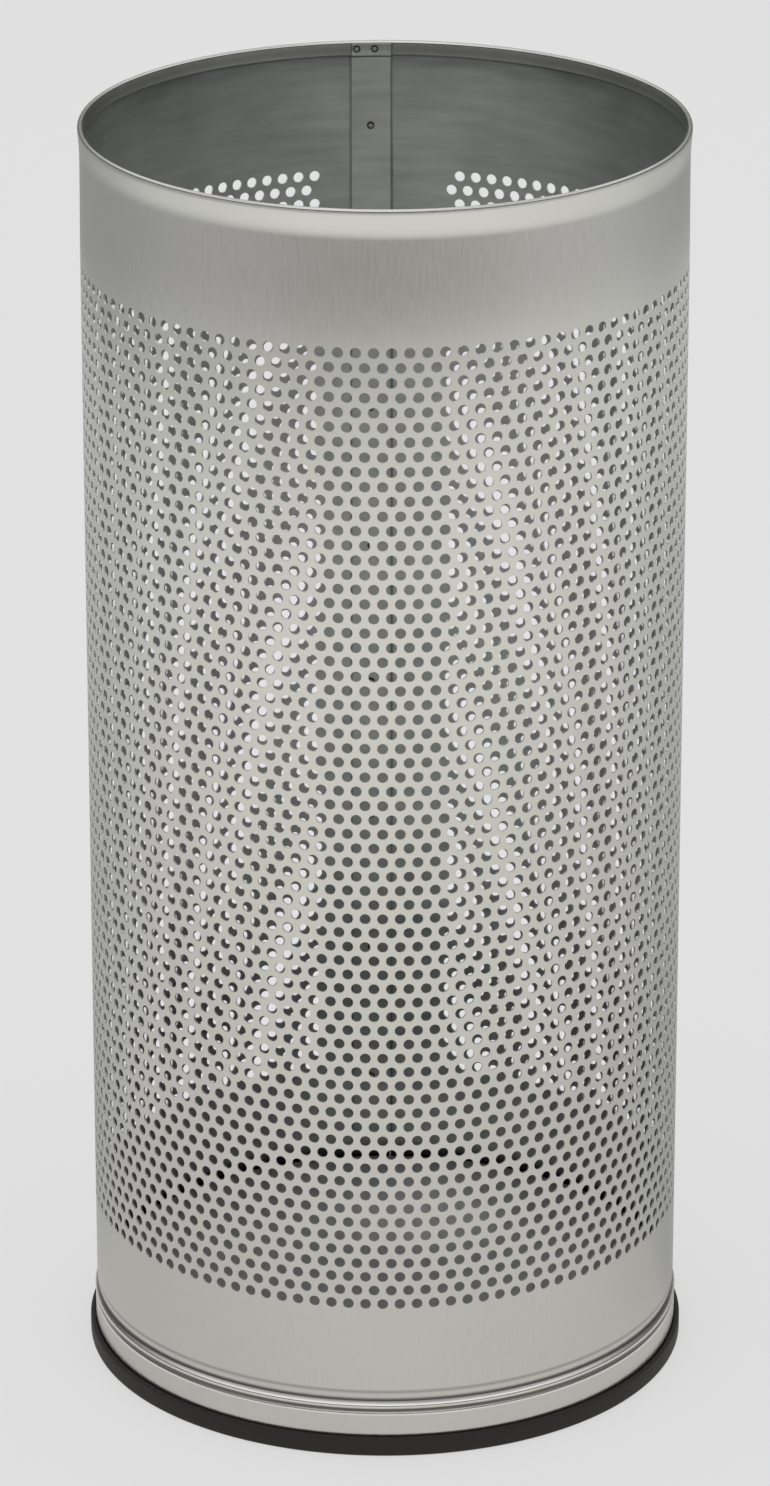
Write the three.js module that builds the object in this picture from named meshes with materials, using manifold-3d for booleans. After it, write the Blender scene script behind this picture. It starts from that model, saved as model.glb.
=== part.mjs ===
// Perforated sheet-steel litter bin, in millimetres. +Z is up, -Y is the front, and the origin is
// the middle of the footprint on the floor. The lap seam of the rolled sheet is centred on +Y.
//
// The body is one sheet, rolled and lapped. Its top edge is folded in as a hem, and near the foot
// it is swaged out over a shoulder, so that the pan that makes the floor slides in from below.
// A rubber channel grips the two lower edges together, and the bin stands on it.
// The sheet is left unpierced here: its thousands of small holes are surface detail.
import * as THREE from 'three';
import { mergeVertices } from 'three/addons/utils/BufferGeometryUtils.js';
import Module from 'manifold-3d';

const wasm = await Module();
wasm.setup();

// Driving dimensions
const overallHeight = 608;
const bodyRadius = 140;          // outside of the plain wall
const sheet = 0.8;               // body and pan are the same gauge
const fit = 0.3;                 // clearance between neighbouring pieces
const aroundSteps = 72;          // flats around every turned piece
const degree = Math.PI / 180;

// Hem along the top edge
const hemDepth = 7;              // how far the fold reaches down the inside
const hemFold = 2.1;             // thickness across the closed fold
const hemSwell = 0.5;            // how far the fold stands proud of the wall outside
const hemFoot = overallHeight - hemDepth;
const hemBlend = 1;              // height over which the wall swells into the fold

// Swaged foot: a groove, a bead and a shoulder between the wall and the wider skirt
const wallFoot = 33;             // the plain wall starts here
const softLineTop = 31.4;        // a faint line where the wall begins to draw in
const softLineFoot = 29.4;
const softDepth = 0.2;
const grooveHeight = 27.3;
const grooveDepth = 0.7;
const beadHeight = 24.4;
const beadProud = 1.0;
const neckHeight = 22.4;
const neckProud = 0.3;
const skirtTop = 20.8;
const skirtProud = 0.8;

// Rubber channel under the foot
const ringRadius = 143.4;
const ringHeight = 9.5;
const ringWeb = 3;               // rubber under the sheet edges
const ringInnerLeg = 2.2;
const ringLip = 0.8;             // rounding of the leg tips
const skirtFoot = ringWeb + fit;

// Floor pan
const floorHeight = 26;
const panRadius = 139.2;
const panCorner = 2.2;

// Lap seam: the sheet's inner end, doubled over the outer one
const lapHalfAngle = 3.9;
const lapFoot = 34;              // the inner end is notched away below this, to clear the pan
const lapTop = overallHeight - 1.2;
const lapSteps = 3;

// Rivets along the lap, and two more through its hem
const rivetHead = 1.75;          // radius of a head
const rivetDome = 0.7;           // height of the head inside the bin; the outer one is half as high
const rivetShank = 1.2;
const rivetBore = 1.5;
const rivetSteps = 12;
const boreLength = 12;           // longer than the lap is thick
const seamRivetCount = 8;
const seamRivetFirst = 70;       // height of the lowest one
const seamRivetPitch = 70.9;
const hemRivetPlaces = [-6.8, 1.9]; // along the lap from its middle, positive towards +X
const hemRivetDrop = 3.6;        // below the top edge

const point = (radius, height) => new THREE.Vector2(radius, height);

// Points along a round stretch of an outline, both ends included; angles in degrees
function arc(centreRadius, centreHeight, size, fromAngle, toAngle, steps) {
  return Array.from({ length: steps + 1 }, (_, i) => {
    const angle = (fromAngle + (toAngle - fromAngle) * i / steps) * degree;
    return point(centreRadius + size * Math.cos(angle), centreHeight + size * Math.sin(angle));
  });
}

// An outline turned about the vertical axis. It runs anticlockwise, with the radius to the right,
// and either starts and ends on the axis or is closed on itself here.
function turned(outline) {
  const closed = outline[0].x === 0 ? outline : [...outline, outline[0].clone()];
  return new THREE.LatheGeometry(closed, aroundSteps).rotateX(Math.PI / 2);
}

function toSolid(geometry) {
  const bare = geometry.clone();
  bare.deleteAttribute('normal');
  bare.deleteAttribute('uv');
  const merged = mergeVertices(bare, 1e-4);
  return new wasm.Manifold(new wasm.Mesh({
    numProp: 3,
    vertProperties: new Float32Array(merged.attributes.position.array),
    triVerts: new Uint32Array(merged.index.array),
  }));
}

function toGeometry(solid) {
  const mesh = solid.getMesh();
  const geometry = new THREE.BufferGeometry();
  geometry.setAttribute('position', new THREE.BufferAttribute(mesh.vertProperties, 3));
  geometry.setIndex(new THREE.BufferAttribute(mesh.triVerts, 1));
  geometry.computeVertexNormals();
  return geometry;
}

// A place on the seam; the angle is measured from +Y towards +X, in degrees
function seamPlace(radius, angle, height) {
  return new THREE.Vector3(radius * Math.sin(angle * degree), radius * Math.cos(angle * degree), height);
}

// Where each rivet sits, and the radii of the faces that its two heads lie on
const seamRivets = Array.from({ length: seamRivetCount }, (_, i) => ({
  angle: 0,
  height: seamRivetFirst + seamRivetPitch * i,
  innerFace: bodyRadius - 2 * sheet,
  outerFace: bodyRadius,
}));
const hemRivets = hemRivetPlaces.map((place) => ({
  angle: place / bodyRadius / degree,
  height: overallHeight - hemRivetDrop,
  innerFace: bodyRadius - hemFold - sheet,
  outerFace: bodyRadius + hemSwell,
}));

// One face of the sheet from the foot up to the plain wall, set in by depth from the outside
function footOutline(depth) {
  const face = bodyRadius - depth;
  return [
    point(face + skirtProud, skirtFoot),
    point(face + skirtProud, skirtTop),
    point(face + neckProud, neckHeight),
    point(face + beadProud, beadHeight),
    point(face - grooveDepth, grooveHeight),
    point(face - softDepth, softLineFoot),
    point(face - softDepth, softLineTop),
    point(face, wallFoot),
  ];
}

function rolledSheet() {
  const foldRadius = (hemFold + hemSwell) / 2;
  const foldMiddle = bodyRadius + hemSwell - foldRadius;
  return turned([
    ...footOutline(0),
    point(bodyRadius, overallHeight - 2 * foldRadius - hemBlend),
    ...arc(foldMiddle, overallHeight - foldRadius, foldRadius, 0, 180, 6),
    point(bodyRadius - hemFold, hemFoot),
    point(bodyRadius - sheet, hemFoot),
    ...footOutline(sheet).reverse(),
  ]);
}

// A curved strip over the lap's angles, between two radii and two heights
function lapStrip(inside, outside, low, high) {
  const angles = Array.from({ length: lapSteps + 1 }, (_, i) => lapHalfAngle * (2 * i / lapSteps - 1));
  const inner = angles.map((angle) => seamPlace(inside, angle, low));
  const outer = angles.map((angle) => seamPlace(outside, angle, low)).reverse();
  const shape = new THREE.Shape([...inner, ...outer].map((place) => point(place.x, place.y)));
  return new THREE.ExtrudeGeometry(shape, { depth: high - low, bevelEnabled: false }).translate(0, 0, low);
}

function rivetBoreGeometry(rivet) {
  const place = seamPlace(bodyRadius, rivet.angle, rivet.height);
  return new THREE.CylinderGeometry(rivetBore, rivetBore, boreLength, rivetSteps)
    .rotateZ(-rivet.angle * degree)
    .translate(place.x, place.y, place.z);
}

function perforatedShell() {
  const bite = sheet / 2;        // how far a strip sinks into the layer that it joins
  const wallLap = lapStrip(bodyRadius - 2 * sheet, bodyRadius - sheet + bite, lapFoot, hemFoot + bite);
  const hemLap = lapStrip(bodyRadius - hemFold - sheet, bodyRadius - hemFold + bite, hemFoot, lapTop);
  const lapped = toSolid(rolledSheet()).add(toSolid(wallLap)).add(toSolid(hemLap));
  const bored = [...seamRivets, ...hemRivets].reduce(
    (solid, rivet) => solid.subtract(toSolid(rivetBoreGeometry(rivet))),
    lapped,
  );
  return toGeometry(bored);
}

function basePan() {
  const cornerRadius = panRadius - panCorner;
  const cornerHeight = floorHeight - panCorner;
  return turned([
    point(0, floorHeight - sheet),
    ...arc(cornerRadius, cornerHeight, panCorner - sheet, 90, 0, 3),
    point(panRadius - sheet, skirtFoot),
    point(panRadius, skirtFoot),
    ...arc(cornerRadius, cornerHeight, panCorner, 0, 90, 3),
    point(0, floorHeight),
  ]);
}

// A channel whose slot takes the skirt and the pan's flange
function baseRing() {
  const slotOutside = bodyRadius + skirtProud + fit;
  const slotInside = panRadius - sheet - fit;
  const inside = slotInside - ringInnerLeg;
  return turned([
    point(inside, 0),
    point(ringRadius - ringLip, 0),
    point(ringRadius, ringLip),
    ...arc(ringRadius - ringLip, ringHeight - ringLip, ringLip, 0, 90, 2),
    point(slotOutside, ringHeight - ringLip / 2),
    point(slotOutside, ringWeb),
    point(slotInside, ringWeb),
    point(slotInside, ringHeight - ringLip / 2),
    point(inside + ringLip, ringHeight),
    point(inside, ringHeight - ringLip),
  ]);
}

// A headed pin through the lap, along local +Y, which points out of the bin
function rivetGeometry(rivet) {
  const shoulder = 0.7;          // the dome is a two-step curve: this far out and this far up
  const innerSeat = rivet.innerFace - bodyRadius - fit / 2;
  const outerSeat = rivet.outerFace - bodyRadius + fit / 2;
  const outerDome = rivetDome / 2;
  return new THREE.LatheGeometry([
    point(0, innerSeat - rivetDome),
    point(rivetHead * shoulder, innerSeat - rivetDome * shoulder),
    point(rivetHead, innerSeat),
    point(rivetShank, innerSeat),
    point(rivetShank, outerSeat),
    point(rivetHead, outerSeat),
    point(rivetHead * shoulder, outerSeat + outerDome * shoulder),
    point(0, outerSeat + outerDome),
  ], rivetSteps);
}

const brushedSteel = () => new THREE.MeshStandardMaterial({ color: 0xafada8, roughness: 0.36, metalness: 1 });
const dullSteel = () => new THREE.MeshStandardMaterial({ color: 0x9b9c99, roughness: 0.45, metalness: 1 });
const blackRubber = () => new THREE.MeshStandardMaterial({ color: 0x232120, roughness: 0.7, metalness: 0 });
const darkSteel = () => new THREE.MeshStandardMaterial({ color: 0x6f6a62, roughness: 0.5, metalness: 1 });

function part(name, geometry, material) {
  const mesh = new THREE.Mesh(geometry, material);
  mesh.name = name;
  return mesh;
}

function rivetPart(name, rivet) {
  const mesh = part(name, rivetGeometry(rivet), darkSteel());
  mesh.position.copy(seamPlace(bodyRadius, rivet.angle, rivet.height));
  mesh.rotation.z = -rivet.angle * degree;
  return mesh;
}

const bin = new THREE.Group();
bin.add(part('perforated_shell', perforatedShell(), brushedSteel()));
bin.add(part('base_pan', basePan(), dullSteel()));
bin.add(part('base_ring', baseRing(), blackRubber()));
seamRivets.forEach((rivet, i) => bin.add(rivetPart(`seam_rivet_${i + 1}`, rivet)));
hemRivets.forEach((rivet, i) => bin.add(rivetPart(`hem_rivet_${i + 1}`, rivet)));

export default bin;
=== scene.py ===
# A perforated sheet-steel litter bin: one rolled, lapped and riveted sheet, a floor pan and a rubber ring.
# Metres, +Z up, -Y is the front, and the lap seam of the sheet is centred on +Y.
import math

import bmesh
import bpy
import numpy as np
from mathutils import Matrix, Vector


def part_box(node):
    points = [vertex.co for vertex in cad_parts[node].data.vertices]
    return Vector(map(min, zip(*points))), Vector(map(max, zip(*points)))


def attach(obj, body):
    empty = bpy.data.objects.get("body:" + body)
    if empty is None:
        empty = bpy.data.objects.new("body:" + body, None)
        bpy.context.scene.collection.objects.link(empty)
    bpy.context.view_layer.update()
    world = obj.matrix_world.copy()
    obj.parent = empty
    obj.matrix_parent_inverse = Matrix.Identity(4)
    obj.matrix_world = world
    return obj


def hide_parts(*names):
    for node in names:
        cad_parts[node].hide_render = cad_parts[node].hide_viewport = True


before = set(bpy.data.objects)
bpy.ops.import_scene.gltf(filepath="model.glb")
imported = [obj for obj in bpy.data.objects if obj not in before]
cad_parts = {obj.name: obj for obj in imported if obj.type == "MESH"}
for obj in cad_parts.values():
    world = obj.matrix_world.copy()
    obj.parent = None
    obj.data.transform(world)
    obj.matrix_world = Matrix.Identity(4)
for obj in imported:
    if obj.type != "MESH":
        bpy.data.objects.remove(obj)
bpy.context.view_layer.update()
print("frame loaded:", len(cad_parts), "nodes")

shellLow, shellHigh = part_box("perforated_shell")
panLow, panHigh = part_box("base_pan")
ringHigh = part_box("base_ring")[1]


def addNode(tree, kind, **values):
    node = tree.nodes.new(kind)
    for name, value in values.items():
        setattr(node, name, value)
    return node


def mathNode(tree, operation, first, second=None):
    node = addNode(tree, "ShaderNodeMath", operation=operation)
    for socket, value in zip(node.inputs, (first, second)):
        plug(tree, value, socket)
    return node.outputs[0]


def plug(tree, value, socket):
    if value is None:
        return
    if isinstance(value, bpy.types.NodeSocket):
        tree.links.new(value, socket)
    else:
        socket.default_value = value


def newTree(name, kind, inputs, outputs):
    tree = bpy.data.node_groups.new(name, kind)
    for direction, sockets in (("INPUT", inputs), ("OUTPUT", outputs)):
        for label, socketKind, *value in sockets:
            socket = tree.interface.new_socket(label, in_out=direction, socket_type=socketKind)
            if value:
                socket.default_value = value[0]
    return tree, addNode(tree, "NodeGroupInput").outputs, addNode(tree, "NodeGroupOutput")


def smoothStep(amount):
    held = np.clip(amount, 0.0, 1.0)
    return (1 - np.cos(math.pi * held)) / 2


def linkObject(name, mesh):
    made = bpy.data.objects.new(name, mesh)
    bpy.context.scene.collection.objects.link(made)
    return made


def runNodes(tree, inputs, name):
    # a throwaway object carries the modifier, and the evaluated result becomes a plain mesh
    carrier = linkObject(name + "Carrier", bpy.data.meshes.new(name + "Carrier"))
    modifier = carrier.modifiers.new("nodes", "NODES")
    modifier.node_group = tree
    for item in tree.interface.items_tree:
        if item.item_type == "SOCKET" and item.in_out == "INPUT" and item.name in inputs:
            modifier[item.identifier] = inputs[item.name]
    bpy.context.view_layer.update()
    evaluated = carrier.evaluated_get(bpy.context.evaluated_depsgraph_get())
    mesh = bpy.data.meshes.new_from_object(evaluated)
    mesh.name = name
    carrier.modifiers.remove(modifier)
    bpy.data.objects.remove(carrier)
    return mesh


def smoothMesh(bm, name, sharpAngle):
    mesh = bpy.data.meshes.new(name)
    bm.to_mesh(mesh)
    bm.free()
    mesh.polygons.foreach_set("use_smooth", [True] * len(mesh.polygons))
    mesh.set_sharp_from_angle(angle=math.radians(sharpAngle))
    return mesh


# the sheet's section: where a point of the flat blank goes when the body is rolled and formed
sheet = {
    "thickness": 0.0008,
    "beadProud": 0.001,
    "hemSwell": 0.0005,      # the hem stands proud of the wall by this
    "hemReach": 0.0026,      # thickness across the closed fold
    "hemDepth": 0.007,
    "waistHeight": 0.5935,   # the plain band draws in a little here, under the hem
    "waistDepth": 0.0003,
    "neutralRadius": 0.1398, # flat lengths are true at this radius
    "lapHalfAngle": 3.9,
    "buttGap": 0.00012,
    "joggleRun": 0.0014,     # the inner end steps in over this length of wall
    "joggleDip": 0.00055,
}
wallRadius = shellHigh.x - sheet["beadProud"]
topEdge = shellHigh.z
skirtFoot = shellLow.z
hemFoot = topEdge - sheet["hemDepth"]
lapReach = math.radians(sheet["lapHalfAngle"]) * sheet["neutralRadius"]
probe = 1e-5                 # distance over which slopes are measured

# heights of the formed foot and how far each stands out from the plain wall
footForm = [
    (0.0207, 0.0008),        # top of the skirt
    (0.0223, 0.0002),        # neck
    (0.0246, 0.0010),        # bead
    (0.0276, -0.0007),       # groove
    (0.0296, -0.0002),       # a faint line where the wall begins to draw in
    (0.0316, -0.0002),
    (0.0335, 0.0),
]
foldRadius = sheet["hemReach"] / 2
foldMiddle = topEdge - foldRadius
foldNeutral = foldRadius - sheet["thickness"] / 2
wallForm = footForm + [
    (0.545, 0.0),
    (sheet["waistHeight"], -sheet["waistDepth"]),
    (foldMiddle, sheet["hemSwell"]),
]
hemEnd = foldMiddle + math.pi * foldNeutral + (foldMiddle - hemFoot)


def knotSlopes(knots):
    # level where the outline turns back or runs straight, otherwise an even share of both sides
    rises = [(b[1] - a[1]) / (b[0] - a[0]) for a, b in zip(knots, knots[1:])]
    inner = [2 / (1 / a + 1 / b) if a * b > 0 else 0.0 for a, b in zip(rises, rises[1:])]
    return [0.0] + inner + [rises[-1]]


def wallOffset(height):
    offset = np.full_like(height, wallForm[0][1])
    slopes = knotSlopes(wallForm)
    for i, ((low, start), (high, end)) in enumerate(zip(wallForm, wallForm[1:])):
        inside = height >= low
        span = high - low
        t = np.clip((height[inside] - low) / span, 0, 1)
        bend = start * (1 + 2 * t) * (1 - t) ** 2 + end * t ** 2 * (3 - 2 * t)
        lean = slopes[i] * t * (1 - t) ** 2 - slopes[i + 1] * t ** 2 * (1 - t)
        offset[inside] = bend + lean * span
    return offset


def sectionAt(along):
    # middle of the sheet: radius, height, and the outward normal's radial and upward parts
    radius = wallRadius - sheet["thickness"] / 2 + wallOffset(along)
    slope = (wallOffset(along + probe) - wallOffset(along - probe)) / (2 * probe)
    slope[along > foldMiddle - probe] = 0
    size = np.sqrt(1 + slope ** 2)
    height = along.copy()
    normalOut = 1 / size
    normalUp = -slope / size
    # above the fold's middle the sheet turns over and then runs down again
    turn = (along - foldMiddle) / foldNeutral
    folded = turn > 0
    angle = np.clip(turn, 0, math.pi)
    leg = foldNeutral * np.maximum(turn - math.pi, 0)
    foldCentre = wallRadius + sheet["hemSwell"] - foldRadius
    radius[folded] = (foldCentre + foldNeutral * np.cos(angle))[folded]
    height[folded] = (foldMiddle + foldNeutral * np.sin(angle) - leg)[folded]
    normalOut[folded] = np.cos(angle)[folded]
    normalUp[folded] = np.sin(angle)[folded]
    return radius, height, normalOut, normalUp


def joggleAt(across, along):
    # the wall dips in beside the lap's outer edge; the hem stays round
    rise = smoothStep((across - (blankEnd - sheet["joggleRun"])) / sheet["joggleRun"])
    fade = 1 - smoothStep((along - (topEdge - 2 * sheet["hemDepth"])) / sheet["hemDepth"])
    return -sheet["joggleDip"] * rise * fade


def rolled(flat, depth):
    # flat is an array of (across, along); depth is measured outwards from the middle of the sheet
    across, along = flat[:, 0], flat[:, 1]
    radius, height, normalOut, normalUp = sectionAt(along)
    radius = radius + joggleAt(across, along)
    lean = (joggleAt(across + probe, along) - joggleAt(across - probe, along)) / (2 * probe)
    angle = across / sheet["neutralRadius"]
    outward = np.stack([-np.sin(angle), np.cos(angle), 0 * angle], 1)
    around = np.stack([-np.cos(angle), -np.sin(angle), 0 * angle], 1)
    upward = np.array([0.0, 0.0, 1.0])
    normal = normalOut[:, None] * outward + normalUp[:, None] * upward - lean[:, None] * around
    normal /= np.linalg.norm(normal, axis=1)[:, None]
    rising = normalOut[:, None] * upward - normalUp[:, None] * outward
    place = radius[:, None] * outward + height[:, None] * upward + depth * normal
    return place, normal, around, rising


# the pierced field: rows of staggered round holes
piercing = {
    "pitch": 0.008,
    "holeDiameter": 0.005,
    "holeSides": 12,
    "columns": 102,
    "rows": 68,
    "firstAngle": 11.14,     # of the first hole in the upper row, from the seam
    "topRow": 0.542,
    "sectors": 4,
    "weld": 0.00003,         # corners nearer than this become one
}
pitch = piercing["pitch"]
rowStep = pitch * math.sqrt(3) / 2
cellCorner = pitch / math.sqrt(3)
# the corners lie a little outside the true circle and the flats a little inside it
holeRadius = piercing["holeDiameter"] / 2 / math.cos(math.pi / piercing["holeSides"]) ** 0.5
firstHole = math.radians(piercing["firstAngle"]) * sheet["neutralRadius"]
bottomRow = piercing["topRow"] - (piercing["rows"] - 1) * rowStep
fieldLeft = firstHole - pitch / 2
fieldRight = firstHole + piercing["columns"] * pitch
fieldTop = piercing["topRow"] + cellCorner
fieldBottom = bottomRow - cellCorner
blankStart = -lapReach
blankEnd = blankStart + 2 * math.pi * sheet["neutralRadius"] - sheet["buttGap"]


def piercedFieldTree():
    tree, given, out = newTree("piercedField", "GeometryNodeTree", [
        ("Columns", "NodeSocketInt", 26), ("Rows", "NodeSocketInt", 68),
        ("Pitch", "NodeSocketFloat", 0.008), ("Hole Radius", "NodeSocketFloat", 0.0025),
        ("Hole Sides", "NodeSocketInt", 12), ("First Across", "NodeSocketFloat", 0.0),
        ("First Height", "NodeSocketFloat", 0.0), ("Material", "NodeSocketMaterial"),
    ], [("Geometry", "NodeSocketGeometry")])
    # one point for each hole, every other row moved by half a pitch
    index = addNode(tree, "GeometryNodeInputIndex").outputs[0]
    row = mathNode(tree, "FLOOR", mathNode(tree, "DIVIDE", index, given["Columns"]))
    column = mathNode(tree, "SUBTRACT", index, mathNode(tree, "MULTIPLY", row, given["Columns"]))
    odd = mathNode(tree, "MODULO", row, 2.0)
    stagger = mathNode(tree, "MULTIPLY", mathNode(tree, "SUBTRACT", 1.0, odd), 0.5)
    across = mathNode(tree, "MULTIPLY", mathNode(tree, "ADD", column, stagger), given["Pitch"])
    rise = mathNode(tree, "MULTIPLY", given["Pitch"], math.sqrt(3) / 2)
    place = addNode(tree, "ShaderNodeCombineXYZ")
    plug(tree, mathNode(tree, "ADD", across, given["First Across"]), place.inputs["X"])
    up = mathNode(tree, "ADD", mathNode(tree, "MULTIPLY", row, rise), given["First Height"])
    plug(tree, up, place.inputs["Y"])
    points = addNode(tree, "GeometryNodePoints")
    count = mathNode(tree, "MULTIPLY", given["Columns"], given["Rows"])
    plug(tree, count, points.inputs["Count"])
    plug(tree, place.outputs[0], points.inputs["Position"])
    # one cell: a hexagon of sheet with a round hole in it
    border = addNode(tree, "GeometryNodeCurvePrimitiveCircle")
    border.inputs["Resolution"].default_value = 6
    plug(tree, mathNode(tree, "DIVIDE", given["Pitch"], math.sqrt(3)), border.inputs["Radius"])
    upright = addNode(tree, "GeometryNodeTransform")
    upright.inputs["Rotation"].default_value = (0, 0, math.radians(30))
    plug(tree, border.outputs["Curve"], upright.inputs["Geometry"])
    hole = addNode(tree, "GeometryNodeCurvePrimitiveCircle")
    plug(tree, given["Hole Sides"], hole.inputs["Resolution"])
    plug(tree, given["Hole Radius"], hole.inputs["Radius"])
    both = addNode(tree, "GeometryNodeJoinGeometry")
    plug(tree, hole.outputs["Curve"], both.inputs[0])
    plug(tree, upright.outputs["Geometry"], both.inputs[0])
    filled = addNode(tree, "GeometryNodeFillCurve")
    plug(tree, both.outputs[0], filled.inputs["Curve"])
    scatter = addNode(tree, "GeometryNodeInstanceOnPoints")
    plug(tree, points.outputs[0], scatter.inputs["Points"])
    plug(tree, filled.outputs["Mesh"], scatter.inputs["Instance"])
    real = addNode(tree, "GeometryNodeRealizeInstances")
    plug(tree, scatter.outputs[0], real.inputs[0])
    paint = addNode(tree, "GeometryNodeSetMaterial")
    plug(tree, real.outputs[0], paint.inputs["Geometry"])
    plug(tree, given["Material"], paint.inputs["Material"])
    plug(tree, paint.outputs[0], out.inputs[0])
    return tree


def rowHeight(row):
    return bottomRow + row * rowStep


def addFlatFaces(bm, faces):
    for corners in faces:
        bm.faces.new([bm.verts.new((x, y, 0)) for x, y in corners])


def gridFaces(columns, heights):
    return [
        [(left, low), (right, low), (right, high), (left, high)]
        for left, right in zip(columns, columns[1:])
        for low, high in zip(heights, heights[1:])
    ]


def edgeCell(edge, inner, height, side):
    # fills the notch that a staggered row leaves at the field's left (side 1) or right (side -1) edge
    far, near = side * cellCorner, side * cellCorner / 2
    return [(edge, height - far), (inner, height - near), (inner, height + near), (edge, height + far)]


def gussets(first, last):
    # small pieces that straighten the field's zigzag edges
    half, quarter = pitch / 2, cellCorner / 2
    faces = []
    for i in range(first, last):
        x = firstHole + i * pitch
        faces.append([(x, fieldTop), (x + half, fieldTop - quarter), (x + pitch, fieldTop)])
        if i < piercing["columns"] - 1:
            tip = (x + pitch, fieldBottom + quarter)
            faces.append([(x + half, fieldBottom), (x + 3 * half, fieldBottom), tip])
    if first == 0:
        left, inner = fieldLeft, firstHole
        faces.append([(left, fieldBottom), (inner + half, fieldBottom), (inner, fieldBottom + quarter)])
        faces.append([(left, fieldTop - quarter), (inner, fieldTop), (left, fieldTop)])
        faces += [edgeCell(left, inner, rowHeight(row), 1) for row in range(0, piercing["rows"], 2)]
    if last == piercing["columns"]:
        right, inner = fieldRight, fieldRight - half
        faces.append([(inner, fieldBottom), (right, fieldBottom), (right, fieldBottom + quarter)])
        faces += [edgeCell(right, inner, rowHeight(row), -1) for row in range(1, piercing["rows"], 2)]
    return faces


def spread(start, end, steps):
    return [start + (end - start) * i / steps for i in range(steps + 1)]


# into how many steps the unpierced parts of the blank are divided
bands = {
    "footForm": 8,           # between two heights of the formed foot
    "lowerWall": [0.046, 0.060],
    "upperWall": 6,
    "waist": 8,
    "fold": 9,
    "foldedLeg": 2,
    "startEdge": 5,
    "endEdge": 4,
    "joggle": 4,
}


def footHeights():
    heights = [skirtFoot, 0.5 * (skirtFoot + footForm[0][0])]
    for (low, _), (high, _) in zip(footForm, footForm[1:]):
        heights += spread(low, high, bands["footForm"])[:-1]
    return heights + [footForm[-1][0], *bands["lowerWall"], fieldBottom]


def headHeights():
    foldEnd = foldMiddle + math.pi * foldNeutral
    heights = spread(fieldTop, sheet["waistHeight"], bands["upperWall"])
    heights += spread(sheet["waistHeight"], foldMiddle, bands["waist"])[1:]
    heights += spread(foldMiddle, foldEnd, bands["fold"])[1:]
    return heights + spread(foldEnd, hemEnd, bands["foldedLeg"])[1:]


def marginHeights(firstRow):
    # heights of the corners along one side of the field
    heights = [fieldBottom]
    for row in range(firstRow, piercing["rows"], 2):
        heights += [rowHeight(row) - cellCorner / 2, rowHeight(row) + cellCorner / 2]
    return heights + [fieldTop]


def sectorFaces(first, last):
    topColumns = [firstHole + i * pitch for i in range(first, last + 1)]
    bottomColumns = [x + pitch / 2 for x in topColumns]
    faces = gussets(first, last)
    if first == 0:
        startColumns = spread(blankStart, fieldLeft, bands["startEdge"])
        faces += gridFaces(startColumns, marginHeights(1))
        topColumns = startColumns + topColumns
        bottomColumns = startColumns + bottomColumns
    if last == piercing["columns"]:
        joggleStart = blankEnd - sheet["joggleRun"]
        endColumns = spread(fieldRight, joggleStart, bands["endEdge"])[:-1]
        endColumns += spread(joggleStart, blankEnd, bands["joggle"])
        faces += gridFaces(endColumns, marginHeights(0))
        topColumns = topColumns[:-1] + endColumns
        bottomColumns = bottomColumns[:-2] + endColumns
    faces += gridFaces(topColumns, headHeights())
    faces += gridFaces(bottomColumns, footHeights())
    return faces


def outwardOf(loop):
    # away from the material, in the flat blank, along one of its cut edges
    along = loop.link_loop_next.vert.co - loop.vert.co
    return Vector((along.y, -along.x)).normalized()


def thickened(bm, name, materials):
    # gives the flat blank its two faces and cut edges, rolls it and sets the true normals;
    # the materials are for the outside, the inside and the cut edges
    gentle = 0.5             # cosine between two cut edges that are still shaded as one
    bm.verts.index_update()
    flat = np.array([vert.co[:2] for vert in bm.verts])
    half = sheet["thickness"] / 2
    outer, normal, around, rising = rolled(flat, half)
    inner = rolled(flat, -half)[0]
    count = len(flat)
    faces, normals, slots, flatCorners = [], [], [], []
    for face in bm.faces:
        corners = [vert.index for vert in face.verts]
        faces.append(corners)
        normals += [normal[i] for i in corners]
        slots.append(0)
        flatCorners += corners
        corners = corners[::-1]
        faces.append([i + count for i in corners])
        normals += [-normal[i] for i in corners]
        slots.append(1)
        flatCorners += corners
    edges = [edge.link_loops[0] for edge in bm.edges if edge.is_boundary]
    leaving = {loop.vert.index: outwardOf(loop) for loop in edges}
    arriving = {loop.link_loop_next.vert.index: outwardOf(loop) for loop in edges}
    for loop in edges:
        a, b = loop.vert.index, loop.link_loop_next.vert.index
        faces.append([b, a, a + count, b + count])
        slots.append(2)
        own = outwardOf(loop)
        beside = {b: leaving.get(b, own), a: arriving.get(a, own)}
        for i in (b, a, a, b):
            aim = (own + beside[i]).normalized() if own.dot(beside[i]) > gentle else own
            normals.append(aim.x * around[i] + aim.y * rising[i])
        flatCorners += [b, a, a, b]
    mesh = bpy.data.meshes.new(name)
    mesh.from_pydata(np.concatenate([outer, inner]).tolist(), [], faces)
    mesh.polygons.foreach_set("material_index", slots)
    uv = mesh.uv_layers.new(name="blank")
    uv.data.foreach_set("uv", flat[flatCorners].astype(np.float32).ravel())
    mesh.polygons.foreach_set("use_smooth", [True] * len(faces))
    mesh.normals_split_custom_set(np.array(normals, np.float32))
    for material in materials:
        mesh.materials.append(material)
    return mesh


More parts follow.
